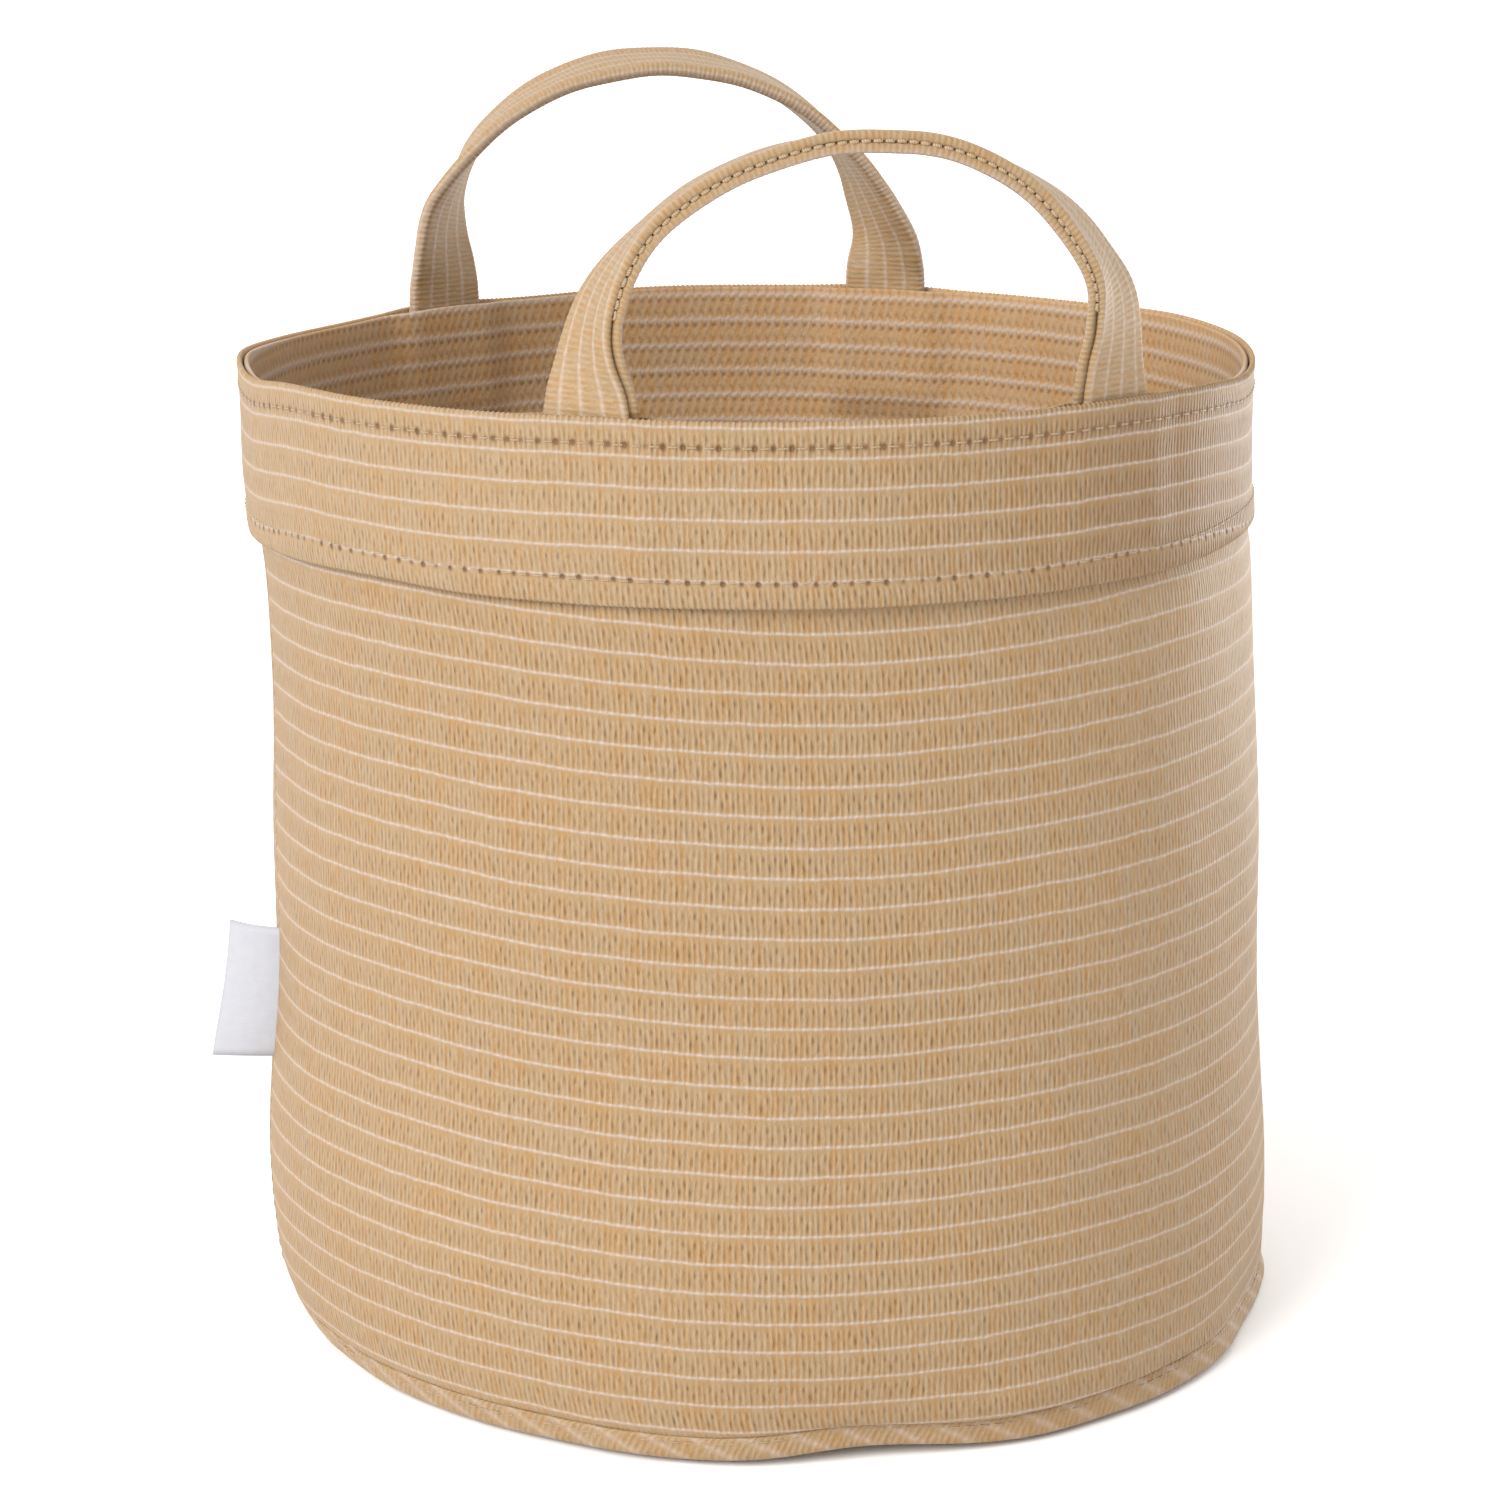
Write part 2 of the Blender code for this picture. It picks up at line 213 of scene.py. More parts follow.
def rim_height(theta):
    """The rim's top edge: a little higher in front and at the straps' feet, and slack at both sides."""
    phi = view_angle(theta)
    height = RIM_Z - 0.0018 + 0.0008 * np.cos(phi + math.radians(15))
    height = height - 0.0036 * bell(phi, -114, 28) - 0.0012 * bell(phi, -150, 12)
    height = height - 0.0026 * bell(phi, -70, 9)
    height = height - 0.0022 * bell(phi, 73, 10) + 0.0010 * bell(phi, 116, 12)
    for angles in FEET.values():
        for foot in angles:
            height = height + 0.0007 * bell(theta, math.degrees(foot), 9)
    return height


def cuff_bottom(theta):
    """The cuff's lower edge: it droops at the left and rides up at the right."""
    phi = view_angle(theta)
    left = 0.0007 * bell(phi, -42, 9) - 0.0024 * bell(phi, -72, 14)
    right = 0.0020 * bell(phi, 80, 18)
    return CUFF_BOTTOM_Z - 0.0001 + left + right


def strap_cover(theta, z):
    """1 where a strap's tail lies between the wall and the cuff, and 0 away from the tails."""
    half = STRAP_WIDTH / 2 / RIM_RADIUS
    cover = 0.0
    for angles in FEET.values():
        for foot in angles:
            away = np.abs((theta - foot + math.pi) % (2 * math.pi) - math.pi)
            cover = cover + 1 - smooth_step(away, half, half + 0.090)
    return cover * smooth_step(z, RIM_Z - TAIL_DEPTH - 0.008, RIM_Z - TAIL_DEPTH)


def unevenness(theta, z):
    """The soft, wide bumps of cloth that stands by itself."""
    wide = 0.00045 * np.sin(3 * theta + 0.9) * np.sin(z * 21 + 0.4)
    middle = 0.00040 * np.sin(5 * theta + 14 * z + 2.1)
    small = 0.00022 * np.sin(11 * theta - 27 * z) + 0.00012 * np.sin(23 * theta + 61 * z + 1.0)
    return wide + middle + small


def corner(theta, z):
    """The side seam stands out as a soft upright corner towards the rim."""
    return 0.0008 * bell(theta, math.degrees(SEAM_ANGLE), 8) * smooth_step(z, 0.12, 0.27)


def foot_folds(theta, z):
    """The wall bulges over the binding in two places to the right, and its foot is pushed in beside them."""
    phi = view_angle(theta)
    level = np.exp(-(((z - 0.0155) / 0.0075) ** 2))
    overhang = (0.0022 * bell(phi, 31, 19) + 0.0013 * bell(phi, 93, 16)) * level
    dent = 0.0050 * bell(phi, 11, 12) * (1 - smooth_step(z, 0.0, 0.035))
    tuck = 0.0031 * bell(phi, 73, 12) * (1 - smooth_step(z, 0.002, 0.030))
    return overhang - dent - tuck


def floor_lift(theta):
    """How far the bottom edge stands off the floor."""
    phi = view_angle(theta)
    return 0.0026 * bell(phi, 9, 11) + 0.0009 * bell(phi, -22, 20) + 0.0005 * (1 + np.sin(2 * theta + 0.6))


def binding_height(theta):
    """The binding is a little uneven in height, and lower where the wall sinks over it."""
    return 1 + 0.06 * np.sin(5 * theta) - 0.10 * bell(view_angle(theta), 20, 14)


def binding_radius(theta, z):
    """The outer face of the binding."""
    sunk = 0.0008 * bell(view_angle(theta), 30, 22)
    return BODY_RADIUS(z) + unevenness(theta, z) + foot_folds(theta, 0.0) - sunk


def cuff_radius(theta, z):
    """The cuff's outer face."""
    push = STRAP_PUSH * strap_cover(theta, z)
    ripple = 0.0003 * np.sin(7 * theta + 30 * z) + 0.0002 * np.sin(17 * theta - 45 * z + 0.7)
    return CUFF_RADIUS(z) + push + ripple + corner(theta, z)


def wall_radius(theta, z):
    """The wall's outer face, drawn in under the cuff and behind the binding."""
    free = BODY_RADIUS(z) + unevenness(theta, z) + corner(theta, z) + foot_folds(theta, z)
    layers = CLOTH + 2 * AIR + (STRAP_THICKNESS + 2 * AIR) * strap_cover(theta, z)
    covered = cuff_radius(theta, z) - layers
    under = smooth_step(z, CUFF_BOTTOM_Z - 0.007, CUFF_BOTTOM_Z + 0.004)
    behind = binding_radius(theta, z) - BINDING_THICKNESS - AIR
    top = (BINDING_TOP + BINDING_THICKNESS / 2) * binding_height(theta) + floor_lift(theta)
    over = smooth_step(z, top - 0.0010, top + 0.0008)
    return (free * over + behind * (1 - over)) * (1 - under) + covered * under


def place(theta, radius, z):
    """Points at an angle, a radius and a height, on the leaning body."""
    theta, radius, z = np.broadcast_arrays(theta, radius, z)
    ring = np.stack([radius * np.sin(theta), -radius * np.cos(theta), z], -1)
    return ring + LEAN(z)[..., None] * ACROSS_VIEW


# ---- mesh building
def new_object(name, mesh, materials):
    """An object in the scene with its materials."""
    piece = bpy.data.objects.new(name, mesh)
    bpy.context.scene.collection.objects.link(piece)
    for material in materials:
        mesh.materials.append(material)
    return piece


def loft(name, points, coords, materials, slots=None, ring=True, capped=False):
    """A closed section swept over columns. points is (rows, columns, 3), and the rows close on themselves.

    coords is the cloth's own (along, across) place of each corner, in metres, with one column more where the
    columns close too. slots is the material of each row of faces.
    """
    rows, columns = points.shape[:2]
    faces_across = columns if ring else columns - 1
    row, column = np.meshgrid(np.arange(rows), np.arange(faces_across), indexing="ij")
    next_row = (row + 1) % rows
    next_column = column + 1
    corners = [(row, column), (row, next_column), (next_row, next_column), (next_row, column)]
    quads = np.stack([(r * columns + c % columns).ravel() for r, c in corners], -1)
    uv = np.stack([coords[r, c].reshape(-1, 2) for r, c in corners], 1)
    faces = quads.tolist()
    loops = uv.reshape(-1, 2)
    if capped:
        for end in (0, columns - 1):
            faces.append([r * columns + end for r in range(rows)])
            loops = np.concatenate([loops, coords[:, end]])
    mesh = bpy.data.meshes.new(name)
    mesh.from_pydata(points.reshape(-1, 3).tolist(), [], faces)
    layer = mesh.uv_layers.new(name="cloth")
    layer.data.foreach_set("uv", loops.astype(np.float32).ravel())
    if slots is not None:
        indices = np.zeros(len(faces), np.int32)
        indices[: len(quads)] = np.repeat(slots, faces_across)
        mesh.polygons.foreach_set("material_index", indices)
    mesh.shade_smooth()
    piece = new_object(name, mesh, materials)
    face_out(mesh)
    return piece


def face_out(mesh):
    """Turns every face outwards."""
    shape = bmesh.new()
    shape.from_mesh(mesh)
    bmesh.ops.recalc_face_normals(shape, faces=shape.faces)
    shape.to_mesh(mesh)
    shape.free()


def strip_section(down, ends=4):
    """Round a strip of cloth from its top edge: the share of the height, the side and the cap, row by row.

    down is the shares of the height from 1 to 0. The side is 1 on the outer face and -1 on the inner one. The
    cap is how far a row lies past an end, in half thicknesses.
    """
    rows = len(down)
    arc = np.linspace(0, math.pi, ends + 2)[1:-1]
    share = np.concatenate([down, np.zeros(ends), down[::-1], np.ones(ends)])
    side = np.concatenate([np.ones(rows), np.cos(arc), -np.ones(rows), -np.cos(arc)])
    cap = np.concatenate([np.zeros(rows), -np.sin(arc), np.zeros(rows), np.sin(arc)])
    return share[:, None], side[:, None], cap[:, None]


def column_angles(columns):
    """Angles once round the bag from the side seam, and the girth at each and back at the seam."""
    theta = SEAM_ANGLE + np.linspace(0, 2 * math.pi, columns + 1)
    return theta[:-1], np.linspace(0, GIRTH, columns + 1)


def cloth_coords(girth, across):
    """(along, across) for each corner of a ring, with the first column repeated at the seam."""
    across = np.concatenate([across, across[:, :1]], axis=1)
    return np.stack(np.broadcast_arrays(girth[None, :], across), -1)


# ---- shader building
def tone(red, green, blue):
    """A display colour, 11 to 255 a channel, as the linear colour that a shader takes."""
    linear = [((c / 255 + 0.055) / 1.055) ** 2.4 for c in (red, green, blue)]
    return (*linear, 1.0)


class Field:
    """A number that varies over a surface, with the arithmetic that a pattern is written in."""

    def __init__(self, tree, socket):
        self.tree = tree
        self.socket = socket

    def apply(self, operation, *others):
        node = self.tree.nodes.new("ShaderNodeMath")
        node.operation = operation
        for entry, value in zip(node.inputs, (self, *others)):
            if isinstance(value, Field):
                self.tree.links.new(value.socket, entry)
            else:
                entry.default_value = value
        return Field(self.tree, node.outputs[0])

    def __add__(self, other):
        return self.apply("ADD", other)

    def __sub__(self, other):
        return self.apply("SUBTRACT", other)

    def __mul__(self, other):
        return self.apply("MULTIPLY", other)

    def __neg__(self):
        return self * -1.0

    def __rsub__(self, other):
        return self * -1.0 + other

    def fract(self):
        return self.apply("FRACT")

    def floor(self):
        return self.apply("FLOOR")

    def cosine(self):
        """Between 0 and 1, one wave for each whole number."""
        return (self * (2 * math.pi)).apply("COSINE") * 0.5 + 0.5

    def odd(self):
        """1 where the whole part is odd, and 0 where it is even."""
        return (self.floor() * 0.5).fract() * 2.0

    def near(self, centre, width):
        """1 at the centre, falling smoothly to nothing about two widths away."""
        away = (self - centre) * (1.0 / width)
        return (-(away * away)).apply("EXPONENT")

    def clamp(self):
        return self.apply("MAXIMUM", 0.0).apply("MINIMUM", 1.0)


class Pattern:
    """The nodes of one material: places on the cloth, noises, colour mixing and the finished shader."""

    def __init__(self, name):
        self.material = bpy.data.materials.new(name)
        self.material.use_nodes = True
        self.tree = self.material.node_tree
        self.shader = self.tree.nodes["Principled BSDF"]

    def cloth_place(self):
        """Metres along and across the cloth."""
        source = self.tree.nodes.new("ShaderNodeUVMap")
        source.uv_map = "cloth"
        split = self.tree.nodes.new("ShaderNodeSeparateXYZ")
        self.tree.links.new(source.outputs[0], split.inputs[0])
        return Field(self.tree, split.outputs[0]), Field(self.tree, split.outputs[1])

    def vector(self, x, y, seed):
        node = self.tree.nodes.new("ShaderNodeCombineXYZ")
        for entry, value in zip(node.inputs, (x, y, seed)):
            if isinstance(value, Field):
                self.tree.links.new(value.socket, entry)
            else:
                entry.default_value = value
        return node.outputs[0]

    def noise(self, x, y, seed, detail=1.0):
        """Soft noise about 0, from -0.5 to 0.5, one blob for each unit of x and y."""
        node = self.tree.nodes.new("ShaderNodeTexNoise")
        node.inputs["Scale"].default_value = 1.0
        node.inputs["Detail"].default_value = detail
        self.tree.links.new(self.vector(x, y, seed), node.inputs["Vector"])
        return Field(self.tree, node.outputs[0]) - 0.5

    def cell(self, x, y, seed):
        """One random number, from 0 to 1, for each whole cell of x and y."""
        node = self.tree.nodes.new("ShaderNodeTexWhiteNoise")
        node.noise_dimensions = "3D"
        x, y = (value.floor() + 0.5 if isinstance(value, Field) else value for value in (x, y))
        self.tree.links.new(self.vector(x, y, seed), node.inputs["Vector"])
        return Field(self.tree, node.outputs[0])

    def mix(self, share, first, second):
        """A colour between two, each a colour or the result of another mix."""
        node = self.tree.nodes.new("ShaderNodeMix")
        node.data_type = "RGBA"
        self.tree.links.new(share.socket, node.inputs["Factor"])
        for entry, value in ((node.inputs[6], first), (node.inputs[7], second)):
            if isinstance(value, tuple):
                entry.default_value = value
            else:
                self.tree.links.new(value, entry)
        return node.outputs[2]

    def finish(self, colour, height, depth, roughness, sheen):
        """Wires colour and relief into the shader. depth is the relief in metres for a height of 1."""
        bump = self.tree.nodes.new("ShaderNodeBump")
        bump.inputs["Strength"].default_value = 1.0
        bump.inputs["Distance"].default_value = depth
        self.tree.links.new(height.socket, bump.inputs["Height"])
        self.tree.links.new(bump.outputs[0], self.shader.inputs["Normal"])
        self.tree.links.new(colour, self.shader.inputs["Base Color"])
        self.shader.inputs["Roughness"].default_value = roughness
        self.shader.inputs["Specular IOR Level"].default_value = 0.35
        self.shader.inputs["Sheen Weight"].default_value = sheen
        self.shader.inputs["Sheen Roughness"].default_value = 0.5
        return self.material


# ---- materials
OUTER_TANS = (tone(144, 121, 90), tone(147, 115, 73), tone(149, 109, 61))    # grey, plain and orange tan
INNER_TANS = (tone(169, 141, 109), tone(172, 135, 91), tone(173, 126, 74))
RIB = tone(161, 139, 113)
GAP = tone(106, 75, 43)
LINE = tone(177, 161, 150)


def shifting_tan(pattern, along, across, tans):
    """The cloth's ground colour: tan that drifts between orange and grey from tape to tape."""
    grey, plain, orange = tans
    drift = pattern.noise(along * 55.0, across * 70.0, 3.0, 2.0)
    tape = pattern.cell(along * (1 / WALE), across * (1 / BAND), 5.0) - 0.5
    ground = pattern.mix((drift * 0.9 + tape * 0.6 + 0.6).clamp(), grey, plain)
    return pattern.mix((drift * 0.8 + tape * 0.6 + 0.05).clamp(), ground, orange)


def knit_outer(
    name, holes=(), openness=1.0, fuzz=0.0, stretched_and_shaded=(0.0, 0.0), yarn=(0.052, 0.82), relief=0.00032
):
    """The cloth's right side: upright ribs, small drawn-out gaps between them, and pale cross lines.

    holes are rows of needle holes, each (across, pitch, width). openness is the strength of the gaps, and
    fuzz is how much pale fluff covers the yarn. stretched_and_shaded is the place along the cloth where its
    gaps are more open and its colour is darkened as painted shade, and by how much. yarn is the pale lines'
    width, as a share of a band, and how much of them shows.
    """
    pattern = Pattern(name)
    along, across = pattern.cloth_place()
    jitter = pattern.noise(along * 260.0, across * 110.0, 1.0)
    wale = along * (1 / WALE) + jitter * 0.6
    band = across * (1 / BAND) + pattern.noise(along * 90.0, across * 40.0, 2.0) * 0.10
    aside = wale.fract()
    up = band.fract()
    middle, extra = stretched_and_shaded
    # painted shade: at this place along the cuff the colour is darkened overall, besides its more open gaps
    stretch_and_shade = along.near(middle, 0.085) * extra
    rib = wale.cosine()
    odd = wale.odd()
    gap = aside.near(0.5, 0.18)
    upper = up.near(0.60, 0.11) * odd
    lower = up.near(0.31, 0.15) * (1.0 - odd)
    zone = pattern.noise(along * 70.0, across * 45.0, 6.0) * 0.8 + 0.9
    strength = (pattern.cell(wale, band, 9.0) * 0.8 + 0.25) * zone * openness
    hole = gap * (upper + lower) * strength
    line_width, line_strength = yarn
    line = (band + 0.5 + pattern.noise(along * 500.0, 0.0, 8.0) * 0.05).fract().near(0.5, line_width)
    knots = (wale * 0.5).cosine() * 0.4 + 0.6 + pattern.noise(along * 330.0, band.floor(), 12.0) * 0.9
    plain = up.near(0.88, 0.13)
    fleck = pattern.noise(along * 2600.0, across * 700.0, 4.0)
    strand = pattern.noise(along * 1000.0, across * 230.0, 7.0, 2.0)
    pale = rib * (1.0 - plain * 0.6) * 0.42 + strand * 1.3 + fleck + fuzz - stretch_and_shade * 0.14
    colour = shifting_tan(pattern, wale * WALE, band * BAND, OUTER_TANS)
    colour = pattern.mix(pale.clamp(), colour, RIB)
    gaps = gap * (stretch_and_shade * 1.1 + openness) * (1.0 - plain) * 0.19
    # the stretched place's term darkens the colour overall here: painted shade
    dark = gaps + hole * 0.48 + stretch_and_shade * 0.16 - strand * 0.45 - fuzz * 0.4
    colour = pattern.mix(dark.clamp(), colour, GAP)
    colour = pattern.mix((line * knots * line_strength).clamp(), colour, LINE)
    height = rib * (1.0 - plain * 0.6) * 0.6 + line * knots * 0.55 + plain * 0.25 - hole * 0.9
    height = height + fleck * 0.4 + strand * 0.6
    for row, pitch, width in holes:
        place_along = along * (1 / pitch) + 0.5
        shift = pattern.cell(place_along, 0.0, 3.0) * 0.24 - 0.12
        spot = (place_along + shift).fract().near(0.5, width / pitch)
        spot = spot * across.near(row, width * 1.1) * (pattern.cell(place_along, 0.0, 11.0) * 0.9 + 0.45)
        colour = pattern.mix((spot * 1.5).clamp(), colour, GAP)
        height = height - spot * 1.4
    return pattern.finish(colour, height, relief, 0.66, sheen=0.08)


def knit_inner(name):
    """The cloth's wrong side: slanting loops and pale cross lines made of short slanting dashes."""
    pattern = Pattern(name)
    along, across = pattern.cloth_place()
    wale = along * (1 / WALE) + pattern.noise(along * 200.0, across * 120.0, 1.0) * 0.5
    dash = (wale * 0.5).fract() * 0.12
    band = across * (1 / BAND) + dash + pattern.noise(along * 60.0, across * 30.0, 2.0) * 0.08
    up = band.fract()
    slant = (wale * 0.5 + band * 1.5).cosine()
    line = (band + 0.5).fract().near(0.5, 0.080)
    dots = up.near(0.80, 0.09) * (wale * 0.5 + 0.25).cosine()
    dots = dots + up.near(0.28, 0.10) * (wale * 0.5).cosine() * 0.6
    fleck = pattern.noise(along * 2200.0, across * 900.0, 4.0)
    strand = pattern.noise(along * 700.0, across * 600.0, 7.0, 2.0)
    colour = shifting_tan(pattern, along, across, INNER_TANS)
    pale = slant * 0.12 + fleck * 0.4 + strand * 0.9
    dark = (1.0 - slant) * 0.10 * (1.0 - line) + dots * 0.6 - strand * 0.5
    colour = pattern.mix(pale.clamp(), colour, RIB)
    colour = pattern.mix(dark.clamp(), colour, GAP)
    colour = pattern.mix((line * 0.75).clamp(), colour, LINE)
    height = slant * 0.25 + line * 0.25 - dots * 0.4 + fleck * 0.3 + strand * 0.6
    return pattern.finish(colour, height, 0.00032, 0.70, sheen=0.06)


def thread_cloth():
    """Twisted sewing thread, a little paler than the cloth."""
    pattern = Pattern("sewing_thread")
    along, across = pattern.cloth_place()
    twist = (along * 1400.0 + across).cosine()
    colour = pattern.mix(twist, tone(145, 118, 86), tone(175, 152, 121))
    return pattern.finish(colour, twist, 0.00012, 0.5, sheen=0.2)


def label_cloth():
    """Plain white ribbon with a fine weave, coloured mid grey as painted shade."""
    pattern = Pattern("label_cloth")
    along, across = pattern.cloth_place()
    weave = (along * 3200.0).cosine() * 0.6 + (across * 1900.0).cosine() * 0.4
    shade = pattern.noise(along * 300.0, across * 300.0, 1.0)
    # painted shade: the white ribbon's colour is greyed to the shade that it is seen in
    colour = pattern.mix((shade + 0.5).clamp(), tone(160, 160, 165), tone(169, 169, 174))
    return pattern.finish(colour, weave, 0.00005, 0.45, sheen=0.1)


# ---- the bag
def line_rise(theta, z):
    """How far the wall's pale lines ride up or down."""
    phi = view_angle(theta)
    share = z / WALL_LINE_Z
    high = 0.0030 * bell(phi, -42, 24) - 0.0026 * bell(phi, 10, 19) + 0.0010 * bell(phi, 52, 12)
    low = 0.0012 * bell(phi, -35, 20) - 0.0026 * bell(phi, 53, 14)
    return high * share + low * (1 - share)


def wall_rows():
    """Shares of the wall's height from 1 to 0, closest together at its foot and under the cuff's edge."""
    parts = [np.linspace(low, high, count) for low, high, count in WALL_ROWS]
    return np.concatenate([part[:-1] for part in parts[:-1]] + parts[-1:])[::-1]


def make_wall(outer, inner):
    """One tube of cloth from behind the binding up to the rim."""
    theta, girth = column_angles(480)
    share, side, cap = strip_section(wall_rows())
    theta = theta[None, :]
    top = rim_height(theta) - WALL_TOP_BELOW
    bottom = WALL_BOTTOM_Z + floor_lift(theta)
    z = bottom + share * (top - bottom)
    half = CLOTH / 2
    radius = wall_radius(theta, z) - half + half * side
    points = place(theta, radius, z + cap * half)
    across = z - WALL_LINE_Z - line_rise(theta, z)
    slots = np.where(side[:, 0] > 0, 0, 1)
    wall = loft("wall_cloth", points, cloth_coords(girth, across), [outer, inner], slots)
    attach(wall, "bag")
    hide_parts("wall_panel")
    return wall


def cuff_place(theta, z, side=1.0):
    """A point on the cuff, from its outer face at side 1 to its inner face at side -1."""
    hem = HEM_EXTRA * (1 - smooth_step(z - cuff_bottom(theta), HEM_HEIGHT - 0.0034, HEM_HEIGHT + 0.0014))
    outer = cuff_radius(theta, z) + hem
    inner = cuff_radius(theta, z) - CLOTH
    return place(theta, (outer + inner) / 2 + (outer - inner) / 2 * side, z)


def make_cuff(outer, inner):
    """The band that hangs over the wall. The knit's ribs show as a fine rope along its two edges."""
    theta, girth = column_angles(3 * WALES)
    share, side, cap = strip_section(np.linspace(1, 0, 17), ends=5)
    theta = theta[None, :]
    top = rim_height(theta)
    bottom = cuff_bottom(theta)
    half = CLOTH / 2
    z = bottom + half + share * (top - bottom - 2 * half)
    ribs = 0.00018 * np.cos(girth[None, :-1] / WALE * 2 * math.pi)
    beside_edge = (np.abs(cap) < 1e-9) * (np.abs(share - 0.5) > 0.49)
    rope = ribs * (np.abs(cap) + beside_edge * 0.5)
    points = cuff_place(theta, z, side)
    outward = points - place(theta, 0.0, z)
    outward /= np.linalg.norm(outward, axis=-1, keepdims=True)
    points = points + outward * (rope * side)[..., None]
    points[..., 2] += cap * (half * 1.25 + rope)
    across = (z + cap * half - top + TOP_LINE) * (BAND / CUFF_BAND)
    slots = np.where(side[:, 0] > -0.2, 0, 1)
    cuff = loft("cuff_cloth", points, cloth_coords(girth, across), [outer, inner], slots)
    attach(cuff, "bag")
    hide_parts("cuff_band")
    return cuff


def make_base(outer, inner):
    """The flat round of cloth inside the wall's foot."""
    theta = column_angles(BASE_COLUMNS)[0][None, :]
    reach = np.linspace(1.0, 0.02, 26)
    rows = np.concatenate([reach, reach[::-1]])[:, None]
    side = np.repeat([1.0, -1.0], len(reach))[:, None]
    radius = (wall_radius(theta, BASE_SEAM_Z) - CLOTH - AIR) * rows
    ripple = 0.0004 * np.sin(3 * theta + 1) * rows**2 * (1 - rows)
    rise = BASE_Z + floor_lift(theta) * rows**4 + ripple
    points = place(theta, radius, rise + side * CLOTH / 2)
    coords = np.concatenate([points, points[:, :1]], axis=1)[..., :2]
    slots = np.where(side[:, 0] > 0, 1, 0)
    base = loft("base_cloth", points, coords, [outer, inner], slots)
    close_middle(base.data, len(reach), BASE_COLUMNS)
    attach(base, "bag")
    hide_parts("base_panel")
    return base


def close_middle(mesh, rows, columns):
    """Fills the two small holes that the base's turned section leaves at its middle."""
    shape = bmesh.new()
    shape.from_mesh(mesh)
    shape.verts.ensure_lookup_table()
    middle = {rows - 1, rows}
    between = [f for f in shape.faces if {v.index // columns for v in f.verts} == middle]
    bmesh.ops.delete(shape, geom=between, context="FACES_ONLY")
    open_edges = [e for e in shape.edges if e.is_boundary]
    bmesh.ops.holes_fill(shape, edges=open_edges)
    bmesh.ops.recalc_face_normals(shape, faces=shape.faces)
    shape.to_mesh(mesh)
    shape.free()


def binding_line():
    """The middle of the tape's section from its top edge down and in under the base, (out, up)."""
    inwards = 0.0020
    down = 0.0018
    arc = np.linspace(0.3, math.pi / 2, 5)
    upright = [(0.0, z) for z in np.linspace(BINDING_TOP, BINDING_TURN_Z, 7)]
    turn = [(-inwards * (1 - math.cos(a)), BINDING_TURN_Z - down * math.sin(a)) for a in arc]
    under = [(x, BINDING_TURN_Z - down) for x in np.linspace(-0.0035, -BINDING_UNDER, 4)]
    return np.array(upright + turn + under)


def offset_section(line, half):
    """A closed outline at half the thickness to each side of a line, with round ends."""
    forward = np.gradient(line, axis=0)
    forward /= np.linalg.norm(forward, axis=1, keepdims=True)
    left = np.stack([-forward[:, 1], forward[:, 0]], 1)
    arc = np.linspace(0, math.pi, 5)[1:-1, None]
    end = line[-1] + half * (left[-1] * np.cos(arc) + forward[-1] * np.sin(arc))
    start = line[0] + half * (-left[0] * np.cos(arc) - forward[0] * np.sin(arc))
    return np.concatenate([line + left * half, end, (line - left * half)[::-1], start])


def make_binding(material):
    """The tape round the bottom edge, cut on the slant so that its knit lines run across it."""
    theta, girth = column_angles(960)
    section = offset_section(binding_line(), BINDING_THICKNESS / 2)
    out = section[:, :1]
    up = section[:, 1:]
    theta = theta[None, :]
    ribs = 0.00010 * np.cos(girth[None, :-1] / BINDING_RIB * 2 * math.pi + up * 900)
    ribs = ribs + 0.00025 * np.sin(girth[None, :-1] * 150) * np.sin(girth[None, :-1] * 61 + 1)
    middle = binding_radius(theta, up) - BINDING_THICKNESS / 2
    z = np.maximum(up * binding_height(theta), 0.00025) + floor_lift(theta)
    points = place(theta, middle + out + ribs * (up > 0.002), z)
    run = girth[None, :] + 0 * up
    rise = np.concatenate([up - out + 0 * theta, (up - out)[:, :1]], axis=1)
    turned_run = run * math.cos(BIAS) - rise * math.sin(BIAS)
    turned_rise = run * math.sin(BIAS) + rise * math.cos(BIAS)
    tape = loft("binding_tape", points, np.stack([turned_run, turned_rise], -1), [material])
    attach(tape, "bag")
    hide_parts("base_binding")


# ---- carry straps
def rim_centre():
    """How far the lean carries the rim's middle."""
    return float(LEAN(np.array(RIM_Z))) * ACROSS_VIEW


def resample(points, step):
    """The same route with points an even step apart."""
    lengths = np.concatenate([[0.0], np.cumsum(np.linalg.norm(np.diff(points, axis=0), axis=1))])
    count = int(round(lengths[-1] / step)) + 1
    even = np.linspace(0, lengths[-1], count)
    return np.stack([np.interp(even, lengths, points[:, axis]) for axis in range(3)], 1), even


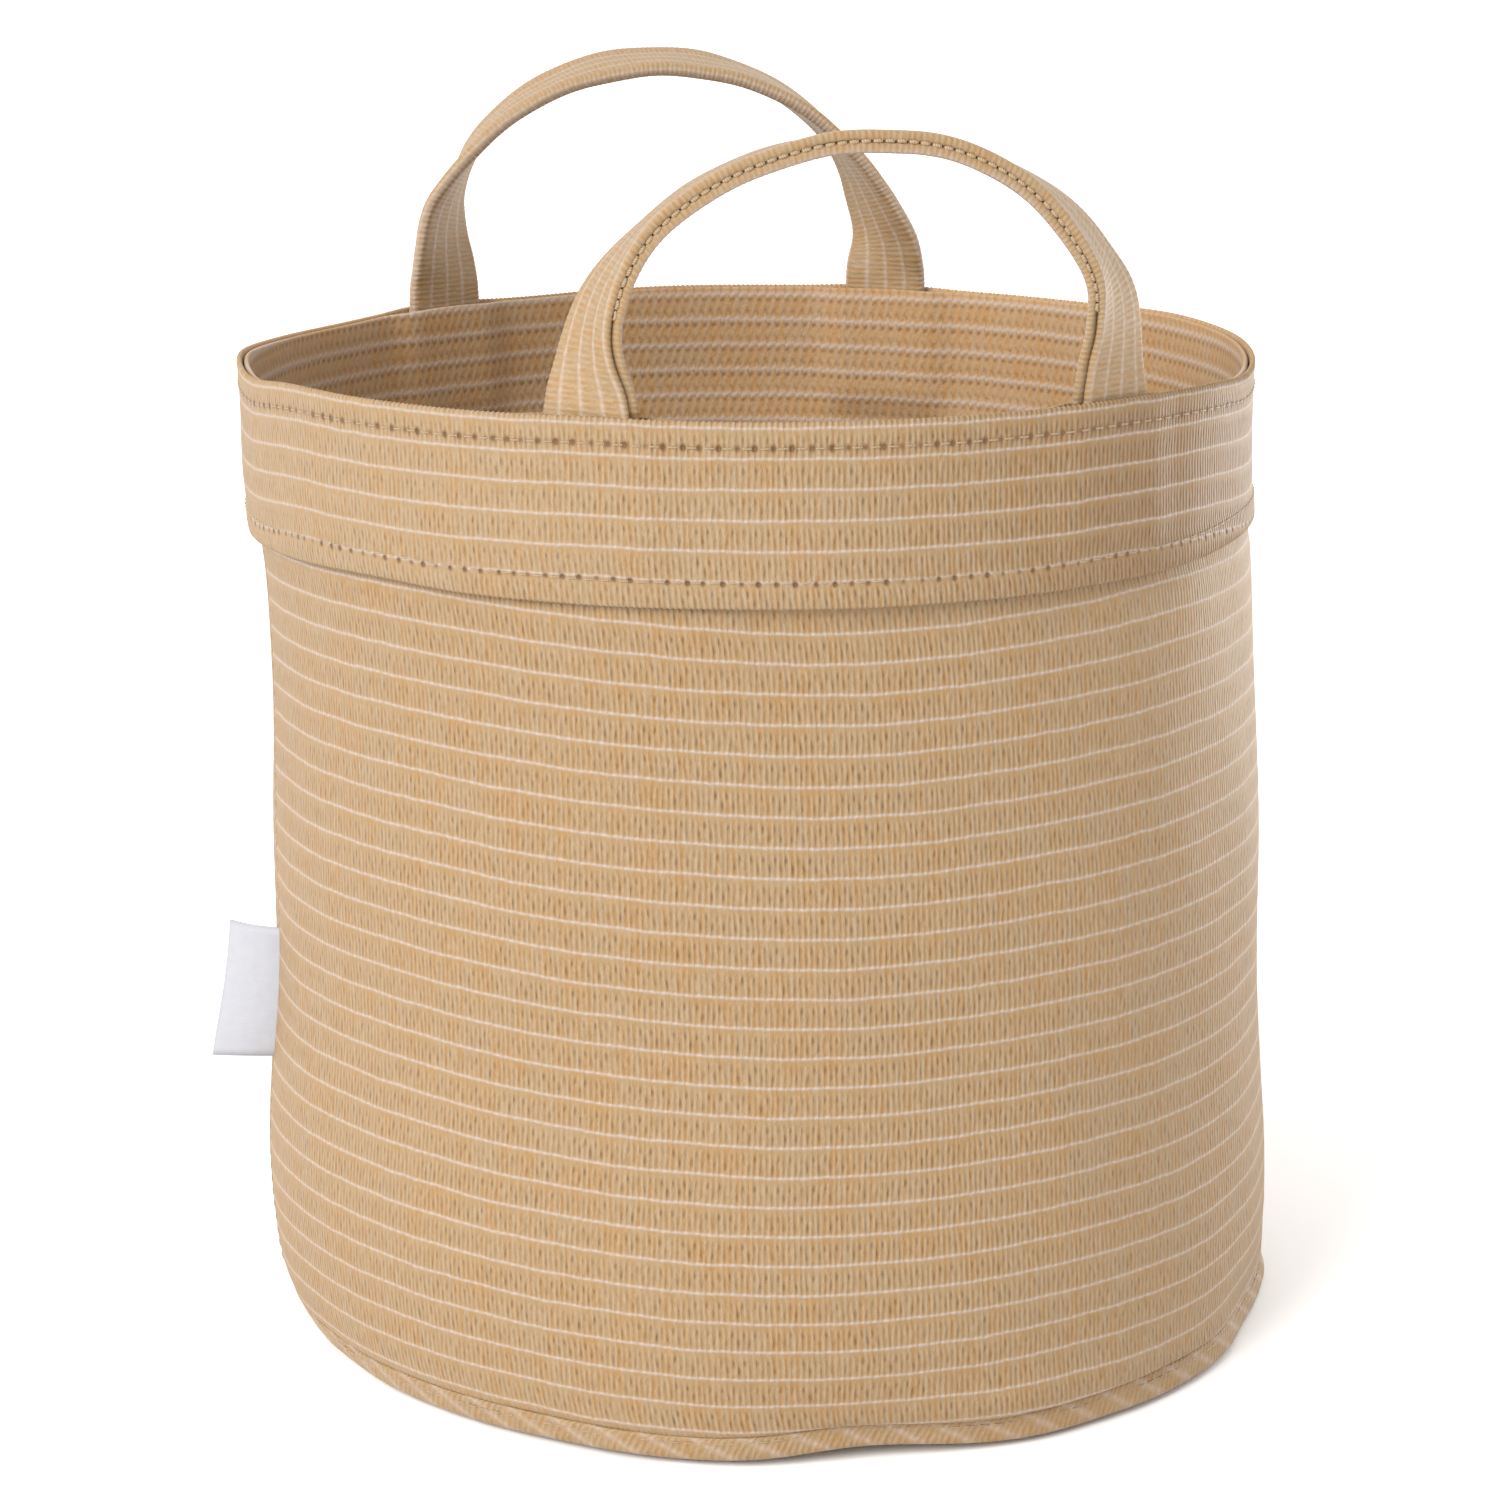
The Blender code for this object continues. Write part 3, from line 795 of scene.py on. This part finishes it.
def strap_route(end):
    """A strap's middle line from tail to tail, its run, and the way along it and across it at each point."""
    shape = STRAP_SHAPES[end]
    turn = shape["turn"]
    tails = []
    for foot in FEET[end]:
        radius = float(cuff_radius(foot, RIM_Z - 0.010)) - CLOTH - AIR - STRAP_THICKNESS / 2
        tails.append(np.array([radius * math.sin(foot), -radius * math.cos(foot), 0.0]))
    t = np.linspace(0, math.pi, 240)
    arch = np.stack([
        turn * (shape["middle"] - shape["half_span"] * np.cos(t) + shape["lean"] * np.sin(t) ** 2),
        -turn * STRAP_PLANE + 0 * t,
        FOLD_Z + shape["rise"] * np.sin(t),
    ], 1)
    drop = np.linspace(RIM_Z - TAIL_DEPTH, FOLD_Z, 40, endpoint=False)
    settle = 1 - smooth_step(arch[:, 2], FOLD_Z - 0.002, FOLD_Z + 0.022)
    for tail, leg, foot_row in zip(tails, (t < math.pi / 2, t >= math.pi / 2), (0, -1)):
        shift = tail[:2] - arch[foot_row, :2]
        arch[leg, :2] += np.outer(settle[leg], shift)
    first = np.stack([0 * drop + tails[0][0], 0 * drop + tails[0][1], drop], 1)
    last = np.stack([0 * drop + tails[1][0], 0 * drop + tails[1][1], drop], 1)[::-1]
    route = np.concatenate([first, arch, last])
    route, run = resample(route, WALE / 4)
    for _ in range(30):     # rounds the corners where the legs leave the rim
        route[1:-1] = (route[:-2] + 2 * route[1:-1] + route[2:]) / 4
    forward = np.gradient(route, axis=0)
    forward /= np.linalg.norm(forward, axis=1, keepdims=True)
    return route + rim_centre(), run, forward, strap_sides(end, route, forward, tails)


def strap_sides(end, route, forward, tails):
    """The way across a strap to its open edge: along the rim at the feet, and turned over the arch."""
    shape = STRAP_SHAPES[end]
    turn = shape["turn"]
    first_half = np.arange(len(route)) < len(route) // 2
    inward = np.stack([forward[:, 2] * turn, 0 * forward[:, 0], -forward[:, 0] * turn], 1)
    inward /= np.linalg.norm(inward, axis=1, keepdims=True)
    rim_side = np.zeros_like(route)
    for tail, half, sign in zip(tails, (first_half, ~first_half), (1, -1)):
        rim_side[half] = sign * np.array([-tail[1], tail[0], 0.0]) / np.linalg.norm(tail)
    above = route[:, 2] - RIM_Z
    settled = smooth_step(above, 0.0, 0.030)[:, None]
    side = square_to(forward, rim_side * (1 - settled) + inward * settled)
    first_leg, second_leg = (smooth_curve(points) for points in STRAP_TWISTS[end])
    twist = np.radians(np.where(first_half, first_leg(above), second_leg(above)))[:, None]
    return side * np.cos(twist) + np.cross(side, forward) * np.sin(twist)


def square_to(forward, side):
    """The directions nearest to side that are square to forward."""
    side = side - forward * np.sum(side * forward, axis=1, keepdims=True)
    return side / np.linalg.norm(side, axis=1, keepdims=True)


def strap_section():
    """A folded strap's outline, (across, out): a round closed edge, and two rolled edges round a slot."""
    half_width = STRAP_WIDTH / 2
    half = STRAP_THICKNESS / 2
    lobe = half * 0.46
    edge = -half_width + half
    roll = half_width - lobe
    quarter = np.linspace(math.pi / 2, 0, 5)
    flat = np.linspace(-half_width + half * 1.4, half_width - lobe * 1.5, 11)
    most = np.linspace(0, math.pi * 0.94, 7)
    closed = [(edge - half * math.sin(a), half * math.cos(a)) for a in quarter]
    face = [(x, half + 0.0002 * math.cos(x / half_width * math.pi / 2)) for x in flat]
    rolled = [(roll + lobe * math.sin(a), half - lobe + lobe * math.cos(a)) for a in most]
    slot = [(half_width - 0.0020, half - 2 * lobe), (half_width - 0.0025, half * 0.02)]
    upper = closed + face + rolled + slot
    return np.array(upper + [(x, -y) for x, y in upper[::-1] if y > 1e-6])


def make_strap(end, material):
    """A strap from tail to tail. The result is what its stitches need: route, run and way across."""
    route, run, forward, side = strap_route(end)
    out = np.cross(side, forward)
    section = strap_section()
    step = np.concatenate([[0.0], np.cumsum(np.linalg.norm(np.diff(section, axis=0), axis=1))])
    over = np.minimum(step, step[-1] - step)
    near_edge = smooth_step(np.abs(section[:, 0]), STRAP_WIDTH / 2 - 0.0022, STRAP_WIDTH / 2 - 0.0006)
    ribs = 0.00006 * np.cos(run / WALE * 2 * math.pi)[None, :] * near_edge[:, None]
    above = route[:, 2] - RIM_Z
    open_edge = smooth_step(section[:, 0], STRAP_WIDTH / 2 - 0.0075, STRAP_WIDTH / 2 - 0.0015)
    spread = smooth_step(above, 0.010, 0.060)
    swell = 1 + ribs / (STRAP_THICKNESS / 2) + LOBE_SWELL * open_edge[:, None] * spread[None, :]
    stagger = 0.0009 * (1 - smooth_step(above, 0.018, 0.046)) * smooth_step(above, -0.012, -0.001)
    wave = 0.00025 * np.sin(run * 190)[None, :] * np.sin(section[:, :1] * 160 + run[None, :] * 40)
    across = section[:, :1] + ribs * np.sign(section[:, :1])
    across = across - open_edge[:, None] * np.sign(section[:, 1:]) * stagger[None, :]
    away = section[:, 1:] * swell + wave
    points = route[None] + side[None] * across[..., None] + out[None] * away[..., None]
    lines = (over[:, None] - 0.0004) * (BAND / 0.0064) + 0 * run[None, :]
    coords = np.stack(np.broadcast_arrays(run[None, :], lines), -1)
    strap = loft(f"{end}_strap", points, coords, [material], ring=False, capped=True)
    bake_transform(strap)
    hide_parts(f"{end}_handle_strap", f"{end}_left_strap_tail", f"{end}_right_strap_tail")
    return route, run, side


# ---- stitches
def stitch_row(name, points, outs, pitch, count, material, thread):
    """Separate stitches along a route: short lengths of thread that rise out of the cloth and dive back.

    points and outs give the place and the way out of the cloth at distances along the route, which is count
    pitches long. thread is a radius, a rise and a share, as in CUFF_THREAD.
    """
    radius, lift, share = thread
    steps = 7
    sides = 6
    t = np.linspace(0, 1, steps)
    places = (np.arange(count)[:, None] + (1 - share) / 2 + t[None, :] * share) * pitch
    centre = points(places.ravel()).reshape(count, steps, 3)
    out = outs(places.ravel()).reshape(count, steps, 3)
    rise = lift * np.sin(math.pi * t) ** 0.5 - 0.0004 * (1 - np.sin(math.pi * t)) ** 3
    centre = centre + out * rise[None, :, None]
    forward = np.gradient(centre, axis=1)
    forward /= np.linalg.norm(forward, axis=2, keepdims=True)
    sideways = np.cross(forward, out)
    sideways /= np.linalg.norm(sideways, axis=2, keepdims=True)
    upward = np.cross(sideways, forward)
    angles = np.linspace(0, 2 * math.pi, sides, endpoint=False)[None, None, :, None]
    ring = np.cos(angles) * sideways[:, :, None] * 1.15 + np.sin(angles) * upward[:, :, None]
    vertices = (centre[:, :, None] + radius * ring).reshape(-1, 3)
    faces = []
    coords = []
    for s in range(count):
        first = s * steps * sides
        for i in range(steps - 1):
            for k in range(sides):
                a = first + i * sides + k
                b = first + i * sides + (k + 1) % sides
                faces.append((a, b, b + sides, a + sides))
                low = t[i] * pitch
                high = t[i + 1] * pitch
                coords += [(low, k / sides), (low, (k + 1) / sides)]
                coords += [(high, (k + 1) / sides), (high, k / sides)]
        for start in (first, first + (steps - 1) * sides):
            faces.append(tuple(range(start, start + sides)))
            coords += [(0.0, 0.0)] * sides
    mesh = bpy.data.meshes.new(name)
    mesh.from_pydata(vertices.tolist(), [], faces)
    mesh.uv_layers.new(name="cloth").data.foreach_set("uv", np.array(coords, np.float32).ravel())
    mesh.shade_smooth()
    piece = new_object(name, mesh, [material])
    face_out(mesh)
    return piece


def girth_angle(run):
    """The angle at a distance round the bag from its side seam."""
    return SEAM_ANGLE + run / GIRTH * 2 * math.pi


def ring_outward(run):
    """The way out of the bag at a distance round it."""
    theta = girth_angle(run)
    return np.stack([np.sin(theta), -np.cos(theta), 0 * theta], -1)


def top_stitch_height(theta):
    """The row just below the rim."""
    return rim_height(theta) - TOP_STITCH_BELOW


def hem_stitch_height(theta):
    """The row that holds the hem."""
    return cuff_bottom(theta) + HEM_STITCH_ABOVE


def make_cuff_stitches(name, node, height, material):
    """A row round the cuff, at a height that follows one of its edges."""
    count = round(GIRTH / STITCH_PITCH)

    def on_cuff(run):
        theta = girth_angle(run)
        return cuff_place(theta, height(theta))

    row = stitch_row(name, on_cuff, ring_outward, GIRTH / count, count, material, CUFF_THREAD)
    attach(row, "bag")
    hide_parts(node)


def make_base_stitches(material):
    """The row that holds the binding."""
    count = round(GIRTH / FINE_PITCH)

    def on_binding(run):
        theta = girth_angle(run)
        radius = binding_radius(theta, BINDING_STITCH_Z - 0.0002)
        return place(theta, radius, BINDING_STITCH_Z + floor_lift(theta))

    pitch = GIRTH / count
    row = stitch_row("base_stitches", on_binding, ring_outward, pitch, count, material, BINDING_THREAD)
    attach(row, "bag")
    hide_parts("base_seam_stitch")


def make_side_stitches(material):
    """The wall's upright side seam, from the binding to the cuff."""
    low = 0.014
    length = CUFF_BOTTOM_Z - 0.006 - low
    count = round(length / FINE_PITCH)

    def on_wall(run):
        z = low + run
        return place(SEAM_ANGLE, wall_radius(SEAM_ANGLE, z), z)

    def outward(run):
        return np.stack([-1 + 0 * run, 0 * run, 0 * run], -1)

    row = stitch_row("side_stitches", on_wall, outward, length / count, count, material, SIDE_THREAD)
    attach(row, "bag")
    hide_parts("side_seam_stitch")


def make_strap_stitches(end, strap, material):
    """The row that closes the strap's open edge over the arch, in the slot between its two rolled edges."""
    route, run, side = strap
    start = TAIL_DEPTH + 0.026
    length = run[-1] - 2 * start
    count = round(length / STRAP_PITCH)

    def outward(distance):
        return np.stack([np.interp(distance + start, run, side[:, axis]) for axis in range(3)], -1)

    def in_slot(distance):
        middle = np.stack([np.interp(distance + start, run, route[:, axis]) for axis in range(3)], -1)
        return middle + outward(distance) * (STRAP_WIDTH / 2 - 0.0009)

    name = f"{end}_strap_stitches"
    row = stitch_row(name, in_slot, outward, length / count, count, material, STRAP_THREAD)
    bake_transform(row)
    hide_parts(f"{end}_handle_stitch")


# ---- side label
def make_label(material):
    """A folded ribbon that stands out of the side seam, twisted and a little curled."""
    height = np.linspace(0, 1, 17)
    reach = np.linspace(-0.08, 1, 15)
    share, along = np.meshgrid(height, reach, indexing="xy")
    sweep = LABEL_SWEEP_LOW + (LABEL_SWEEP_HIGH - LABEL_SWEEP_LOW) * share
    bend = sweep * (0.55 + 0.45 * along) + 0.06 * np.sin(math.pi * share)
    z = LABEL_LOW + share * (LABEL_HIGH - LABEL_LOW)
    root = place(SEAM_ANGLE, wall_radius(SEAM_ANGLE, z), z)
    away = np.stack([-np.cos(bend), np.sin(bend), -0.03 * along], -1)
    middle = root + away * (LABEL_WIDTH * along)[..., None]
    across = np.stack([np.sin(bend), np.cos(bend), 0 * bend], -1) * LABEL_THICKNESS / 2
    points = np.concatenate([middle + across, (middle - across)[::-1]])
    flat = np.stack([along * LABEL_WIDTH, share * (LABEL_HIGH - LABEL_LOW)], -1)
    coords = np.concatenate([flat, flat[::-1]])
    label = loft("side_label_cloth", points, coords, [material], ring=False, capped=True)
    seam = root[0, len(height) // 2]
    seam[0] - 0.007
    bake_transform(label)
    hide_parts("side_label")
    return label


# ---- floor, lights and camera
def make_floor():
    """A plain white floor that reaches far beyond the bag."""
    mesh = bpy.data.meshes.new("floor")
    corners = [(x * FLOOR_REACH, y * FLOOR_REACH, 0) for x, y in ((-1, -1), (1, -1), (1, 1), (-1, 1))]
    mesh.from_pydata(corners, [], [(0, 1, 2, 3)])
    pattern = Pattern("floor_paper")
    pattern.shader.inputs["Base Color"].default_value = (0.99, 0.99, 0.99, 1.0)
    pattern.shader.inputs["Roughness"].default_value = 0.9
    floor = new_object("floor", mesh, [pattern.material])


def from_view(turn, rise):
    """The direction towards a light, in degrees round from the camera's side and up from the floor."""
    theta = math.radians(turn) - VIEW_TURN
    rise = math.radians(rise)
    return Vector((math.cos(rise) * math.sin(theta), -math.cos(rise) * math.cos(theta), math.sin(rise)))


def add_light(name, kind, power, towards):
    """A light that shines from the direction given."""
    lamp = bpy.data.lights.new(name, kind)
    lamp.energy = power
    light = bpy.data.objects.new(name, lamp)
    light.rotation_euler = towards.to_track_quat("Z", "Y").to_euler()
    bpy.context.scene.collection.objects.link(light)
    return light


def make_lights():
    """A soft sun from the front left, a small lamp low behind the right side, and a bright white room."""
    key = add_light("key_light", "SUN", KEY_POWER, from_view(-44, 34))
    key.data.angle = math.radians(35)
    towards = from_view(134, 0)
    edge = add_light("edge_light", "AREA", EDGE_POWER, towards)
    edge.data.size = 0.26
    edge.location = towards * 1.2 + Vector((0, 0, 0.15))
    world = bpy.data.worlds.new("studio")
    world.use_nodes = True
    background = world.node_tree.nodes["Background"]
    background.inputs["Color"].default_value = (1.0, 1.0, 1.0, 1.0)
    background.inputs["Strength"].default_value = ROOM_POWER
    bpy.context.scene.world = world
    bpy.context.scene.view_settings.view_transform = "Standard"


def make_camera():
    """The camera in front, a little to the left and looking down."""
    lens = bpy.data.cameras.new("camera")
    lens.lens = LENS_MM
    lens.sensor_width = SENSOR_MM
    camera = bpy.data.objects.new("camera", lens)
    back = Vector((-math.sin(VIEW_TURN), -math.cos(VIEW_TURN), 0.0)) * VIEW_DISTANCE
    camera.location = back + Vector((0, 0, VIEW_HEIGHT)) + Vector(ACROSS_VIEW) * VIEW_SHIFT
    heading = VIEW_TURN + VIEW_YAW
    looking = Vector((math.sin(heading), math.cos(heading), 0.0)) * math.cos(VIEW_PITCH)
    looking.z = -math.sin(VIEW_PITCH)
    camera.rotation_euler = looking.to_track_quat("-Z", "Y").to_euler()
    bpy.context.scene.collection.objects.link(camera)
    bpy.context.scene.camera = camera


def needle_holes():
    """The cuff's two rows of needle holes, on the cloth's own metres, each (across, pitch, width)."""
    pitch = GIRTH / round(GIRTH / STITCH_PITCH)
    scale = BAND / CUFF_BAND
    top_row = (TOP_LINE - TOP_STITCH_BELOW) * scale
    hem_row = (CUFF_BOTTOM_Z + 0.0006 + HEM_STITCH_ABOVE - RIM_Z + TOP_LINE) * scale
    return [(top_row, pitch, 0.00080), (hem_row, pitch, 0.00068)]


def main():
    make_camera()
    make_floor()
    make_lights()
    outer = knit_outer("knit_outer")
    cuff_outer = knit_outer("knit_cuff", needle_holes(), openness=0.9, fuzz=0.12, stretched_and_shaded=STRETCHED_AND_SHADED)
    inner = knit_inner("knit_inner")
    strap_knit = knit_outer("knit_strap", openness=0.15, fuzz=0.06, yarn=(0.10, 0.6), relief=0.00012)
    bias_knit = knit_outer("knit_bias", openness=0.25, yarn=(0.15, 0.45), relief=0.00022)
    thread = thread_cloth()
    wall = make_wall(outer, inner)
    cuff = make_cuff(cuff_outer, inner)
    base = make_base(outer, inner)
    make_binding(bias_knit)
    make_cuff_stitches("cuff_top_stitches", "cuff_top_stitch", top_stitch_height, thread)
    make_cuff_stitches("cuff_hem_stitches", "cuff_hem_stitch", hem_stitch_height, thread)
    make_base_stitches(thread)
    make_side_stitches(thread)
    for end in ("front", "rear"):
        strap = make_strap(end, strap_knit)
        make_strap_stitches(end, strap, thread)
    label = make_label(label_cloth())


main()
